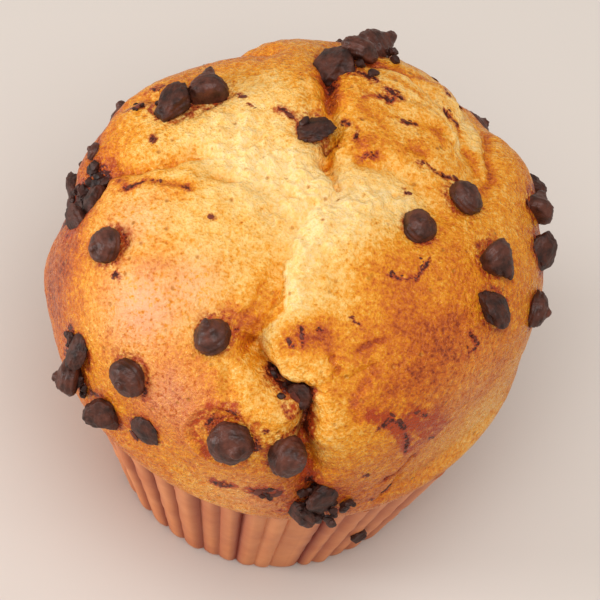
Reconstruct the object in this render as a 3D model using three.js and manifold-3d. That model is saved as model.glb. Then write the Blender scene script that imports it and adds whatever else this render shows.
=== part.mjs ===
// A chocolate chip muffin, baked in a fluted paper case that it has risen out of and over.
// Millimetres, +Z up. The origin is the middle of the case's base, and the front faces -Y.
// A place on the cake is given by its turn, in degrees round the axis from +X towards +Y, and by
// its rise, in degrees above the widest level, both as seen from the middle of that level.
import * as THREE from "three";
import { mergeVertices } from "three/addons/utils/BufferGeometryUtils.js";
import Module from "manifold-3d";

const wasm = await Module();
wasm.setup();

// Paper case. Its wall is thicker than paper, so that it is a sound solid.
const baseRadius = 26;
const rimRadius = 36.3;
const caseHeight = 38.5;
const caseWall = 0.7;
const footRound = 1.1;
const fluteCount = 44;
const pointsPerFlute = 5;
const fluteDepthAtBase = 0.5;
const fluteDepthAtRim = 1.1;
const rimWave = 0.3;

// Cake
const fitGap = 0.35; // between the cake and the case
const domeRadius = 41;
const widestHeight = 48.5;
const domeRise = 31;
const domeSquareness = 2.8; // 2 would be an ellipse, more has fuller shoulders
const lipSquareness = 2;
const lipHeight = 39.2; // the lip's underside, just over the case's rim
const neckInset = 1.5; // how far the neck just under the lip is drawn in from the plug's cone
const neckHeight = 5;
const oblong = 0.04; // how much longer the cake is one way than across
const oblongTurn = 53;
const unevenness = 0.45;
const cakeDetail = 17; // subdivisions of the sphere that the cake starts from
const plugShare = 0.45; // share of the plug's area that counts where faces are shared out

// Chocolate chips
const chipRadius = 3.2;
const chipSides = 8;

const radians = THREE.MathUtils.degToRad;
const { lerp, smoothstep } = THREE.MathUtils;
const centre = new THREE.Vector3(0, 0, widestHeight);

function direction(turn, rise) {
  const level = Math.cos(radians(rise));
  return new THREE.Vector3(
    level * Math.cos(radians(turn)),
    level * Math.sin(radians(turn)),
    Math.sin(radians(rise)),
  );
}

// Cracks in the crust: a line of places [turn, rise], the half width and depth of the groove along
// it, and how much higher the crust on the line's left stands than the crumb on its right.
const crustCliff = {
  places: [[300, 88], [258, 82], [252, 77], [259, 68], [263, 60], [264, 54], [259, 46]],
  width: 2.2,
  depth: 0.9,
  ledge: 1.8,
};
const frontCrack = {
  places: [[259, 46], [264, 42], [268, 39], [276, 36], [280, 32], [280, 25], [281, 15]],
  width: 2.8,
  depth: 3.8,
  ledge: 0.3,
};
const frontCrackFoot = { places: [[281, 15], [282, 8], [285, 0]], width: 2.6, depth: 2, ledge: 0.5 };
const leftCrack = {
  places: [[160, 54], [171, 50], [175, 43], [175, 34], [180, 28]],
  width: 2.2,
  depth: 1.7,
  ledge: 0.9,
};
const leftNotch = { places: [[180, 28], [178, 20], [180, 9]], width: 3.6, depth: 4, ledge: 0 };
const leftBrow = {
  places: [[165, 53], [175, 62], [177, 70], [196, 76], [240, 79]],
  width: 3,
  depth: 0.3,
  ledge: -0.9,
};
const leftFold = {
  places: [[148, 34], [156, 27], [166, 23], [176, 25]],
  width: 2.2,
  depth: 0.8,
  ledge: 0.6,
};
const backCrack = {
  places: [[84, 74], [88, 65], [94, 53], [94, 41], [92, 32]],
  width: 2.6,
  depth: 3,
  ledge: -0.6,
};
const backCrackHead = { places: [[20, 84], [53, 81], [81, 76]], width: 2.4, depth: 1.4, ledge: 0.6 };
const outerFold = { places: [[80, 30], [70, 29], [59, 28], [50, 33]], width: 2, depth: 0.5, ledge: -0.9 };
const upperFold = {
  places: [[79, 39], [67, 39], [55, 38], [46, 39], [36, 40]],
  width: 2.2,
  depth: 0.8,
  ledge: -0.8,
};
const lowerFold = {
  places: [[50, 27], [39, 33], [33, 36], [27, 39], [18, 43]],
  width: 2.2,
  depth: 0.9,
  ledge: 1,
};
const rightBrow = {
  places: [[70, 72], [60, 68], [40, 62], [22, 58], [8, 54]],
  width: 3.2,
  depth: 0.8,
  ledge: 0.9,
};
const farCrack = { places: [[112, 34], [122, 22], [128, 8]], width: 2.8, depth: 2.2, ledge: 0.6 };
const creases = [
  crustCliff,
  frontCrack,
  frontCrackFoot,
  leftCrack,
  leftNotch,
  leftBrow,
  leftFold,
  backCrack,
  backCrackHead,
  outerFold,
  upperFold,
  lowerFold,
  rightBrow,
  farCrack,
];
const ledgeEdge = 0.9;
const ledgeReach = 7;

// Broad swellings, and hollows where the height is negative: [turn, rise, reach, height].
const swellings = [
  [214, 50, 14, 1.4],
  [330, 76, 9, 1.6],
  [330, 48, 16, 0.9],
  [262, 20, 9, 0.8],
  [304, 30, 12, 0.8],
  [112, 55, 13, 0.9],
  [150, 27, 12, 3.4],
  [33, 22, 7, 2],
  [54, 25, 5, -1.2],
  [258, -5, 20, -2.2],
  [325, -6, 18, -1.3],
  [358, -3, 9, -1.2],
  [110, 24, 7, 1.2],
  [200, -3, 10, -0.7],
  [168, 20, 6, 1],
  [14, 16, 9, 0.8],
  [186, -2, 8, 0.9],
  [90, 5, 14, 0.8],
];

// Chips that can be told apart from the front: [turn, rise, size, proud, lean, leanTurn, height].
// Proud is how far a chip's widest ring is above the surface, in mm. A lean of 0 points the tip
// straight out. A height under 1 is a chip that melted or broke.
const frontChips = [
  [245, 42, 1, 0.4, 50, 100, 1.1],
  [201, 34, 0.98, 0.2, 12, 200, 0.9],
  [232, 22, 1.04, 0.2, 15, 240, 0.95],
  [262, 23, 1.18, 0.2, 20, 330, 0.95],
  [275, 21, 1.1, 0.4, 45, 60, 1.05],
  [358, 60, 0.95, 0, 10, 120, 0.9],
  [17, 48, 0.98, 0.1, 15, 90, 0.9],
  [357, 39, 1, 0.5, 55, 330, 1.1],
  [344, 34, 1.02, 0, 30, 120, 0.6],
  [22, 23, 1.02, -0.3, 60, 95, 0.9],
  [12, 20, 1.06, -0.2, 40, 290, 0.7],
  [357, 16, 0.98, -0.2, 25, 0, 0.8],
  [94, 42, 1.15, 1, 50, 200, 0.75],
  [87, 36, 1, 0.6, 20, 80, 0.9],
  [81, 28, 1.12, 0.3, 45, 30, 1],
  [136, 42, 1.05, 0.5, 60, 110, 1.15],
  [147, 37, 1, 0, 65, 160, 0.7],
  [100, 66, 1, -0.2, 15, 180, 0.5],
  [182, 26, 1, 0, 20, 180, 0.7],
  [189, 20, 1.05, -0.2, 35, 220, 0.7],
  [216, 13, 0.9, 0.2, 30, 90, 0.6],
  [217, 4, 1.08, 0.9, 40, 200, 0.85],
  [231, 4, 1.02, 0.6, 40, 250, 0.7],
  [242, 10, 0.9, -0.4, 10, 240, 0.4],
  [287, 3, 1.05, 0.3, 30, 60, 0.6],
  [281, -3, 0.9, 0.2, 40, 260, 0.5],
  [277, 34, 0.8, 0.8, 20, 200, 0.6],
  [167, 25, 0.5, -0.3, 10, 170, 0.8],
];

// The back has a like scatter: steps of the golden ratio keep its chips evenly apart.
const backChipCount = 15;
const goldenStep = 0.618034;
const backTurnFrom = 30;
const backTurnSpan = 145;
const backRiseFrom = -7;
const backRiseSpan = 22;

function backChips() {
  const rows = [];
  for (let k = 0; k < backChipCount; k++) {
    const turn = backTurnFrom + backTurnSpan * ((k * goldenStep) % 1);
    const rise = backRiseFrom + backRiseSpan * ((k + 0.5) / backChipCount);
    const size = 0.92 + 0.05 * (k % 4);
    rows.push([turn, rise, size, 0.15 * (k % 5), 8 + 11 * (k % 5), 67 * k, 0.62 + 0.14 * (k % 4)]);
  }
  return rows;
}

function bell(distance, reach) {
  return Math.exp(-((distance / reach) ** 2));
}

// Lines bend to and fro a little, as torn crust does.
function bent(way) {
  const shift = new THREE.Vector3(
    Math.sin(17 * way.y + 9 * way.z),
    Math.sin(19 * way.z + 8 * way.x + 2),
    Math.sin(16 * way.x + 10 * way.y + 4),
  );
  return way.clone().addScaledVector(shift, 0.016).normalize();
}

// From a direction to a line of places: distance in mm, side (1 is left), and share along it.
function nearestOnLine(way, places) {
  const corners = places.map(([turn, rise]) => direction(turn, rise));
  let nearest = { distance: Infinity };
  let passed = 0;
  for (let k = 0; k + 1 < corners.length; k++) {
    const segment = new THREE.Line3(corners[k], corners[k + 1]);
    const along = segment.closestPointToPointParameter(way, true);
    const distance = domeRadius * segment.at(along, new THREE.Vector3()).distanceTo(way);
    if (distance < nearest.distance) {
      const side = Math.sign(corners[k].clone().cross(corners[k + 1]).dot(way));
      nearest = { distance, side, place: passed + along * segment.distance() };
    }
    passed += segment.distance();
  }
  return { ...nearest, share: nearest.place / passed };
}

// Height of the surface over the plain dome: lobes, cracks, and a slow unevenness all over.
function relief(way) {
  const waves = Math.sin(5.2 * way.x + 1) + Math.sin(6.1 * way.y + 2.2) + Math.sin(5.6 * way.z + 4);
  let height = unevenness * waves;
  for (const [turn, rise, reach, amount] of swellings) {
    height += amount * bell(direction(turn, rise).distanceTo(way) * domeRadius, reach);
  }
  const bentWay = bent(way);
  for (const { places, width, depth, ledge } of creases) {
    const { distance, side, share } = nearestOnLine(bentWay, places);
    const taper = smoothstep(share, 0, 0.2) * (1 - smoothstep(share, 0.8, 1));
    const step = 0.5 * side * (1 - Math.exp(-distance / ledgeEdge)) * bell(distance, ledgeReach);
    height += ledge * taper * step - depth * bell(distance, width);
  }
  return height;
}

function caseRadius(z) {
  return lerp(baseRadius, rimRadius, z / caseHeight);
}

function fluteDepth(z) {
  return lerp(fluteDepthAtBase, fluteDepthAtRim, z / caseHeight);
}

// The plug in the case is a plain cone that stays clear of the flutes' inner ridges.
function plugRadius(z) {
  return caseRadius(z) - fluteDepth(z) - caseWall - fitGap;
}

// The plain cake's section from the top of the dome to the middle of the plug's base. Each point
// holds radius, height, and how much of the cake's unevenness it takes.
function plainSection() {
  const steps = 90;
  const neckRadius = plugRadius(lipHeight) - neckInset;
  const plugFloor = caseWall + fitGap;
  const points = [];
  for (let k = 0; k <= steps; k++) {
    const angle = (Math.PI / 2) * (k / steps);
    const radius = domeRadius * Math.sin(angle) ** (2 / domeSquareness);
    const z = widestHeight + domeRise * Math.max(0, Math.cos(angle)) ** (2 / domeSquareness);
    points.push({ radius, z, share: 1 });
  }
  for (let k = 1; k <= steps; k++) {
    const angle = (Math.PI / 2) * (k / steps);
    const out = Math.max(0, Math.cos(angle)) ** (2 / lipSquareness);
    const drop = (widestHeight - lipHeight) * Math.sin(angle) ** (2 / lipSquareness);
    const radius = neckRadius + (domeRadius - neckRadius) * out;
    const share = 1 - smoothstep(drop, 2, widestHeight - lipHeight);
    points.push({ radius, z: widestHeight - drop, share });
  }
  points.push({ radius: plugRadius(lipHeight - neckHeight), z: lipHeight - neckHeight, share: 0 });
  const footRadius = plugRadius(plugFloor + footRound);
  points.push({ radius: footRadius, z: plugFloor + footRound, share: 0 });
  points.push({ radius: footRadius - footRound, z: plugFloor, share: 0 });
  points.push({ radius: 0, z: plugFloor, share: 0 });
  return points;
}

const section = plainSection();

// Area of the cake from its top down to each point of the section, with the plug's reduced.
function areaTotals() {
  const totals = [0];
  for (let k = 1; k < section.length; k++) {
    const from = section[k - 1];
    const to = section[k];
    const slant = Math.hypot(to.radius - from.radius, to.z - from.z);
    const weight = from.z > lipHeight ? 1 : plugShare;
    totals.push(totals[k - 1] + weight * slant * (from.radius + to.radius));
  }
  return totals;
}

// The section's point where a running total along it reaches a value.
function sectionAt(totals, value) {
  let k = 1;
  while (k < totals.length - 1 && totals[k] < value) k++;
  const part = THREE.MathUtils.clamp((value - totals[k - 1]) / (totals[k] - totals[k - 1]), 0, 1);
  const from = section[k - 1];
  const to = section[k];
  return {
    radius: lerp(from.radius, to.radius, part),
    z: lerp(from.z, to.z, part),
    share: lerp(from.share, to.share, part),
  };
}

function surfaceAt(turn, { radius, z, share }) {
  const wide = 1 + share * oblong * Math.cos(2 * (turn - radians(oblongTurn)));
  const point = new THREE.Vector3(wide * radius * Math.cos(turn), wide * radius * Math.sin(turn), z);
  const way = point.clone().sub(centre).normalize();
  return share > 0 ? point.addScaledVector(way, share * relief(way)) : point;
}

// The surface over a place, by its rise above the widest level.
function surfaceOver(turn, rise) {
  const drops = section.map(({ radius, z }) => Math.atan2(widestHeight - z, radius));
  return surfaceAt(radians(turn), sectionAt(drops, -radians(rise)));
}

// A closed geometry as a solid, and back.
function solidOf(geometry) {
  const bare = geometry.clone();
  bare.deleteAttribute("normal");
  bare.deleteAttribute("uv");
  const merged = mergeVertices(bare, 1e-4);
  return new wasm.Manifold(
    new wasm.Mesh({
      numProp: 3,
      vertProperties: new Float32Array(merged.attributes.position.array),
      triVerts: new Uint32Array(merged.index.array),
    }),
  );
}

function geometryOf(solid) {
  const mesh = solid.getMesh();
  const geometry = new THREE.BufferGeometry();
  geometry.setAttribute("position", new THREE.BufferAttribute(mesh.vertProperties, 3));
  geometry.setIndex(new THREE.BufferAttribute(mesh.triVerts, 1));
  geometry.computeVertexNormals();
  return geometry;
}

// The bare cake: an even sphere, laid over the section so that its faces stay of one size.
function bareCakeGeometry() {
  const geometry = new THREE.IcosahedronGeometry(1, cakeDetail);
  const position = geometry.attributes.position;
  const totals = areaTotals();
  const vertex = new THREE.Vector3();
  for (let k = 0; k < position.count; k++) {
    vertex.fromBufferAttribute(position, k).normalize();
    const turn = Math.atan2(vertex.y, vertex.x);
    const point = surfaceAt(turn, sectionAt(totals, (totals.at(-1) * (1 - vertex.z)) / 2));
    position.setXYZ(k, point.x, point.y, point.z);
  }
  return geometry;
}

// One chip: a drop with a flat foot and a blunt tip along +Z, its widest ring at height 0.
function chipGeometry(size, height) {
  const profile = [
    [0, -1.7],
    [2.5, -1.5],
    [chipRadius, 0],
    [2.6, 1.5],
    [1.3, 2.8],
    [0, 3.4],
  ].map(([radius, z]) => new THREE.Vector2(radius * size, z * size * height));
  return new THREE.LatheGeometry(profile, chipSides).rotateX(Math.PI / 2);
}

function placedChip([turn, rise, size, proud, lean, leanTurn, height]) {
  const outward = direction(turn, rise);
  const sideways = new THREE.Vector3(Math.cos(radians(leanTurn)), Math.sin(radians(leanTurn)), 0);
  sideways.addScaledVector(outward, -sideways.dot(outward)).normalize();
  const tip = outward.clone().multiplyScalar(Math.cos(radians(lean)));
  tip.addScaledVector(sideways, Math.sin(radians(lean)));
  const place = surfaceOver(turn, rise).addScaledVector(outward, proud);
  const turned = new THREE.Quaternion().setFromUnitVectors(new THREE.Vector3(0, 0, 1), tip);
  const matrix = new THREE.Matrix4().compose(place, turned, new THREE.Vector3(1, 1, 1));
  return solidOf(chipGeometry(size, height).applyMatrix4(matrix));
}

function cakeGeometry() {
  let solid = solidOf(bareCakeGeometry());
  for (const row of [...frontChips, ...backChips()]) {
    solid = solid.add(placedChip(row));
  }
  return geometryOf(solid);
}

// How deep one flute is against the others. Every few flutes one has been pressed nearly flat.
function fluteShare(flute) {
  return flute % 7 === 3 ? 0.3 : 0.8 + 0.2 * Math.sin(1.9 * flute + 0.5);
}

// One ring of points round the case. Flutes are rounded ridges with narrow valleys between them.
function caseRing(height, inset, wave) {
  const ring = [];
  const count = fluteCount * pointsPerFlute;
  for (let k = 0; k < count; k++) {
    const across = (k % pointsPerFlute) / pointsPerFlute;
    const ridge = 2 * Math.sin(Math.PI * across) ** 0.8 - 1;
    const share = across === 0 ? 0.8 : fluteShare(Math.floor(k / pointsPerFlute));
    const radius = caseRadius(height) + share * ridge * fluteDepth(height) - inset;
    const around = (2 * Math.PI * k) / count;
    const z = height + wave * Math.sin(3 * around);
    ring.push(new THREE.Vector3(radius * Math.cos(around), radius * Math.sin(around), z));
  }
  return ring;
}

// The case as one closed shell: base, rounded foot, outer wall, rim, inner wall and inner floor.
function caseGeometry() {
  const rings = [
    caseRing(0, footRound, 0),
    caseRing(footRound, 0, 0),
    caseRing(caseHeight, 0, rimWave),
    caseRing(caseHeight, caseWall, rimWave),
    caseRing(footRound, caseWall, 0),
    caseRing(caseWall, footRound, 0),
  ];
  const count = rings[0].length;
  const points = rings.flat();
  const under = points.push(new THREE.Vector3(0, 0, 0)) - 1;
  const floor = points.push(new THREE.Vector3(0, 0, caseWall)) - 1;
  const faces = [];
  for (let k = 0; k < count; k++) {
    const next = (k + 1) % count;
    faces.push(under, next, k);
    for (let ring = 0; ring + 1 < rings.length; ring++) {
      const low = ring * count;
      const high = low + count;
      faces.push(low + k, low + next, high + next);
      faces.push(low + k, high + next, high + k);
    }
    const last = (rings.length - 1) * count;
    faces.push(floor, last + k, last + next);
  }
  const geometry = new THREE.BufferGeometry().setFromPoints(points);
  geometry.setIndex(faces);
  geometry.computeVertexNormals();
  return geometry;
}

const crust = new THREE.MeshStandardMaterial({ color: 0xd9a05a, roughness: 0.6, metalness: 0 });
const paper = new THREE.MeshStandardMaterial({ color: 0xbb7b5c, roughness: 0.7, metalness: 0 });

const muffin = new THREE.Group();

const cake = new THREE.Mesh(cakeGeometry(), crust);
cake.name = "cake";
muffin.add(cake);

const paperCase = new THREE.Mesh(caseGeometry(), paper);
paperCase.name = "paper_case";
muffin.add(paperCase);

export default muffin;
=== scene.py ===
# A chocolate chip muffin in its fluted paper case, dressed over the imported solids.
# Sizes are in millimetres and become metres through mm. A place on the cake is given by its turn
# round the axis, from +X towards +Y, and its rise above the widest level, both in degrees.
import math

import bpy
import numpy as np
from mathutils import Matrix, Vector, noise


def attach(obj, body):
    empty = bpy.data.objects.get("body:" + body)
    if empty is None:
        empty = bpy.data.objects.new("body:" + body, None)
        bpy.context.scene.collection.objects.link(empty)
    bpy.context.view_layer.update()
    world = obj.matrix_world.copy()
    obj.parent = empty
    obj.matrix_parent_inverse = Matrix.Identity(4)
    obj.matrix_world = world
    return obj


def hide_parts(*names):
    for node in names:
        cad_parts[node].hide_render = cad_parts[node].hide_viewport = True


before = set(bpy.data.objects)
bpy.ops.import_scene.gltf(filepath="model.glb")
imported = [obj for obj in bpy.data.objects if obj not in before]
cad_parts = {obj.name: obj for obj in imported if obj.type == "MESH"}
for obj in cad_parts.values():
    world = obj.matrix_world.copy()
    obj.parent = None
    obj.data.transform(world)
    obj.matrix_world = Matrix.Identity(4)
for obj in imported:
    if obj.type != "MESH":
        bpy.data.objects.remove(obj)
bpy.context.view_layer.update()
mm = 0.001
luck = np.random.default_rng(11)


# Small tools

def deselectAll():
    if bpy.context.mode != "OBJECT":
        leaveEdit()
    bpy.ops.object.select_all(action="DESELECT")


def editAll():
    bpy.ops.object.mode_set(mode="EDIT")
    bpy.ops.mesh.select_all(action="SELECT")


def leaveEdit():
    bpy.ops.object.mode_set(mode="OBJECT")


def turnOutward():
    editAll()
    bpy.ops.mesh.normals_make_consistent(inside=False)
    leaveEdit()


def pointsOf(piece):
    flat = np.zeros(len(piece.data.vertices) * 3)
    piece.data.vertices.foreach_get("co", flat)
    return flat.reshape(-1, 3)


def movePoints(piece, points):
    piece.data.vertices.foreach_set("co", np.ascontiguousarray(points).ravel())
    piece.data.update()


def paintPoints(piece, name, values):
    layer = piece.data.attributes.new(name, "FLOAT", "POINT")
    layer.data.foreach_set("value", np.ascontiguousarray(values, dtype=np.float32))


def unit(ways):
    return ways / np.linalg.norm(ways, axis=1)[:, None]


def bell(distance, reach):
    return np.exp(-((distance / reach) ** 2))


def smooth(value, low, high):
    part = np.clip((value - low) / (high - low), 0, 1)
    return part * part * (3 - 2 * part)


def noiseAt(places, scale, seed=0):
    # soft noise from -1 to 1, with features of about 1 / scale
    lift = Vector((seed * 7.3, seed * 3.1, seed * 5.7))
    return np.array([noise.noise(Vector(place) * scale + lift) for place in places])


def noiseAlong(places, scale, seed):
    # a noise of its own along each axis
    return np.array([noiseAt(places, scale, seed + axis) for axis in range(3)]).T


def direction(turn, rise):
    turn, rise = math.radians(turn), math.radians(rise)
    level = math.cos(rise)
    return np.array([level * math.cos(turn), level * math.sin(turn), math.sin(rise)])


def srgb(red, green, blue):
    # a colour as paint charts give it, 0 to 255, in the renderer's linear values
    shares = [value / 255 for value in (red, green, blue)]
    linear = [v / 12.92 if v <= 0.04045 else ((v + 0.055) / 1.055) ** 2.4 for v in shares]
    return (*linear, 1.0)


def setInputs(node, values):
    for name, value in values.items():
        node.inputs[name].default_value = value


# The camera, lights and floor

view = {"elevation": 60, "roll": 11.5, "aim": (0.9, 20.4, 11.8), "distance": 1400, "lens": 488}


def addCamera():
    high, roll = math.radians(view["elevation"]), math.radians(view["roll"])
    back = Vector((0, -math.cos(high), math.sin(high)))
    level, upright = Vector((1, 0, 0)), Vector((0, math.sin(high), math.cos(high)))
    right = level * math.cos(roll) + upright * math.sin(roll)
    up = upright * math.cos(roll) - level * math.sin(roll)
    bpy.ops.object.camera_add(location=(Vector(view["aim"]) + back * view["distance"]) * mm)
    camera = bpy.context.object
    camera.name = "camera"
    turned = camera.matrix_world.to_3x3()
    turned.col[0], turned.col[1], turned.col[2] = right, up, back
    camera.rotation_euler = turned.to_euler()
    camera.data.lens = view["lens"]
    camera.data.clip_end = 10
    bpy.context.scene.camera = camera


# Each lamp has its place, size and power.
light = {
    "skyColour": srgb(252, 244, 234),
    "skyStrength": 0.58,
    "keyLight": ((40, -270, 950), 560, 5.75),
    "sideLight": ((-880, -230, 200), 220, 4.6),
    "floorColour": srgb(212, 205, 199),
}


def addAreaLight(name, place, size, power):
    bpy.ops.object.light_add(type="AREA", location=Vector(place) * mm)
    lamp = bpy.context.object
    lamp.name = name
    lamp.data.size = size * mm
    lamp.data.energy = power
    towards = Vector((0, 0, 45)) - Vector(place)
    lamp.rotation_euler = towards.to_track_quat("-Z", "Y").to_euler()


def addStage():
    for name in ("keyLight", "sideLight"):
        addAreaLight(name, *light[name])
    world = bpy.data.worlds.new("softSky")
    world.use_nodes = True
    sky = world.node_tree.nodes["Background"]
    setInputs(sky, {"Color": light["skyColour"], "Strength": light["skyStrength"]})
    bpy.context.scene.world = world
    bpy.context.scene.view_settings.view_transform = "Standard"
    deselectAll()
    bpy.ops.mesh.primitive_plane_add(size=6)
    floor = bpy.context.object
    floor.name = "floor"
    matt = bpy.data.materials.new("paleFloor")
    matt.use_nodes = True
    finish = matt.node_tree.nodes["Principled BSDF"]
    setInputs(finish, {"Base Color": light["floorColour"], "Roughness": 0.9})
    floor.data.materials.append(matt)


addCamera()
addStage()
print("camera, lights and floor are in place")


# The cake's form, as the solid has it

case = {
    "baseRadius": 26,
    "rimRadius": 36.3,
    "height": 38.5,
    "footRound": 1.1,
    "fluteCount": 44,
    "fluteDepthAtBase": 0.5,
    "fluteDepthAtRim": 1.1,
    "rimWave": 0.3,
}

dome = {
    "radius": 41,
    "widestHeight": 48.5,
    "rise": 31,
    "squareness": 2.8,
    "lipSquareness": 2,
    "lipHeight": 38.9,
    "neckInset": 0.1,
    "neckHeight": 5,
    "oblong": 0.04,
    "oblongTurn": 53,
    "unevenness": 0.45,
    "plugShare": 0.03,
    "plugGap": 0.45,
    "plugFloor": 0.45,
    "ledgeEdge": 0.45,
    "creaseReach": 7,
    "fineReach": 3,
    "groove": 0.6,
    "slit": 0.55,
    "slitWidth": 0.4,
    "bend": 0.016,
    "tears": ((14, 0.018, 1), (36, 0.008, 4)),
    "fray": 0.01,
    "frayScale": 34,
}

# Cracks: a line of places, the half width and depth of its groove, and how much higher the crust on
# the line's left stands than the crumb on its right.
creases = [
    ([[300, 88], [258, 82], [252, 77], [259, 68], [263, 60], [264, 54], [259, 46]], 2.2, 0.9, 1.8),
    ([[259, 46], [264, 42], [268, 39], [276, 36], [280, 32], [280, 25], [281, 15]], 2.8, 3.8, 0.3),
    ([[281, 15], [282, 8], [285, 0]], 2.6, 2, 0.5),
    ([[160, 54], [171, 50], [175, 43], [175, 34], [180, 28]], 2.2, 1.7, 0.9),
    ([[180, 28], [178, 20], [180, 9]], 3.6, 4, 0),
    ([[165, 53], [175, 62], [177, 70], [196, 76], [240, 79]], 3, 0.3, -0.9),
    ([[148, 34], [156, 27], [166, 23], [176, 25]], 2.2, 0.8, 0.6),
    ([[84, 74], [88, 65], [94, 53], [94, 41], [92, 32]], 2.6, 3, -0.6),
    ([[20, 84], [53, 81], [81, 76]], 2.4, 1.4, 0.6),
    ([[80, 30], [70, 29], [59, 28], [50, 33]], 2, 0.5, -0.9),
    ([[79, 39], [67, 39], [55, 38], [46, 39], [36, 40]], 2.2, 0.8, -0.8),
    ([[50, 27], [39, 33], [33, 36], [27, 39], [18, 43]], 2.2, 0.9, 1),
    ([[70, 72], [60, 68], [40, 62], [22, 58], [8, 54]], 3.2, 0.8, 0.9),
    ([[112, 34], [122, 22], [128, 8]], 2.8, 2.2, 0.6),
]

# Broad swellings, and hollows where the height is negative: turn, rise, reach, height.
swellings = [
    [214, 50, 14, 1.4], [330, 76, 9, 1.6], [330, 48, 16, 0.9], [262, 20, 9, 0.8],
    [304, 30, 12, 0.8], [112, 55, 13, 0.9], [150, 27, 12, 3.4], [33, 22, 7, 2], [54, 25, 5, -1.2],
    [258, -5, 20, -2.2], [325, -6, 18, -1.3], [358, -3, 9, -1.2], [110, 24, 7, 1.2],
    [200, -3, 10, -0.7], [168, 20, 6, 1], [14, 16, 9, 0.8], [186, -2, 8, 0.9], [90, 5, 14, 0.8],
]

# Finer tears and crust edges, too small for the solid.
fineCreases = [
    ([[84, 38], [77, 37], [71, 37], [66, 34], [58, 22], [56, 12]], 1.2, 0.5, -1.1),
    ([[54, 37], [50, 36], [46, 38], [40, 40]], 0.8, 0.4, -0.6),
    ([[41, 39], [37, 39], [31, 40], [24, 43]], 0.8, 0.5, 0.5),
    ([[46, 27], [43, 30], [38, 34], [34, 35], [28, 37]], 1, 0.8, -0.9),
    ([[72, 49], [60, 50], [50, 45], [44, 44]], 1, 0.4, 0.6),
    ([[66, 47], [58, 43], [47, 41], [40, 43]], 0.9, 0.3, -0.5),
    ([[73, 63], [66, 66], [60, 68], [52, 64], [44, 63]], 1, 0.5, 0.6),
    ([[47, 56], [42, 53], [37, 53], [29, 51]], 1, 0.5, 0.5),
    ([[184, 40], [182, 44], [181, 46], [183, 50], [183, 53], [184, 57]], 0.8, 0.3, -0.8),
    ([[251, 67], [252, 60], [253, 53], [250, 50], [243, 50]], 0.8, 0.4, -0.7),
    ([[175, 57], [173, 64], [181, 71], [196, 74], [226, 75]], 1.4, 0.5, -0.4),
    ([[252, 40], [255, 36], [256, 33], [259, 31]], 0.8, 0.3, -0.9),
    ([[256, 43], [264, 41], [269, 38], [274, 36], [281, 37]], 1.2, 1.8, -0.6),
    ([[277, 37], [280, 33], [280, 28], [279, 20]], 1.1, 2.2, 0.3),
    ([[284, 40], [292, 40], [300, 42]], 1, 0.4, 0.3),
    ([[300, 41], [296, 38], [293, 36], [292, 33], [293, 31], [292, 26]], 0.9, 0.3, 0.9),
    ([[303, 3], [306, 4], [310, 8]], 0.8, 1, 0.6),
    ([[302, -6], [305, -2], [307, 0]], 0.8, 0.9, 0.4),
    ([[295, 46], [300, 47], [306, 47]], 0.8, 0.4, 0),
    ([[154, 24], [158, 23], [165, 24]], 1, 0.8, 0.6),
    ([[84, 72], [70, 77], [52, 81]], 0.7, 0.7, 0.3),
    ([[160, 42], [150, 46], [140, 47], [132, 47]], 0.9, 0.3, -0.5),
    ([[103, 52], [100, 60], [86, 66]], 1, 0.8, 0.4),
    ([[261, 78], [261, 70], [264, 63], [262, 56], [257, 48]], 0.7, 0.7, 0.5),
]

# Small holes torn in the crumb: turn, rise, radius, depth.
pits = [
    [161, 51, 0.9, 1.4], [165, 52, 1.2, 1.6], [169, 49, 0.8, 1], [172, 47, 1, 1.3],
    [175, 42, 0.7, 1.4], [175, 38, 0.7, 1.3], [172, 33, 1, 1.1], [175, 61, 0.8, 0.9],
    [175, 64, 0.7, 0.8], [172, 82, 0.9, 0.9], [86, 66, 1.1, 2.8], [79, 68, 0.8, 1.2],
    [84, 72, 0.9, 1.8], [52, 81, 0.9, 1.5], [20, 66, 0.7, 0.8], [268, 38, 1, 1.8],
    [261, 41, 1.1, 1], [288, 42, 0.7, 0.8], [287, 45, 0.8, 0.6],
]


def distanceTo(ways, turn, rise):
    return dome["radius"] * np.linalg.norm(ways - direction(turn, rise), axis=1)


def nearestOnLine(ways, places):
    # distance in mm, side (1 is left) and share along the line
    corners = [direction(*place) for place in places]
    distance = np.full(len(ways), np.inf)
    side = np.zeros(len(ways))
    share = np.zeros(len(ways))
    passed = 0
    for start, end in zip(corners, corners[1:]):
        span = end - start
        length = np.linalg.norm(span)
        along = np.clip((ways - start) @ span / length**2, 0, 1)
        away = dome["radius"] * np.linalg.norm(start + along[:, None] * span - ways, axis=1)
        nearer = away < distance
        distance[nearer] = away[nearer]
        side[nearer] = np.sign(ways[nearer] @ np.cross(start, end))
        share[nearer] = passed + along[nearer] * length
        passed += length
    return distance, side, share / passed


def bent(ways):
    x, y, z = ways.T
    shift = np.array([
        np.sin(17 * y + 9 * z),
        np.sin(19 * z + 8 * x + 2),
        np.sin(16 * x + 10 * y + 4),
    ]).T
    return unit(ways + dome["bend"] * shift)


def torn(ways):
    # the same lines with a ragged edge, as crumb tears
    moved = bent(ways)
    for scale, reach, seed in dome["tears"]:
        moved += reach * noiseAlong(ways, scale, seed)
    return unit(moved)


def frayed(ways):
    # the places themselves, with a fine ragged edge
    return unit(ways + dome["fray"] * noiseAlong(ways, dome["frayScale"], 8))


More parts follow.
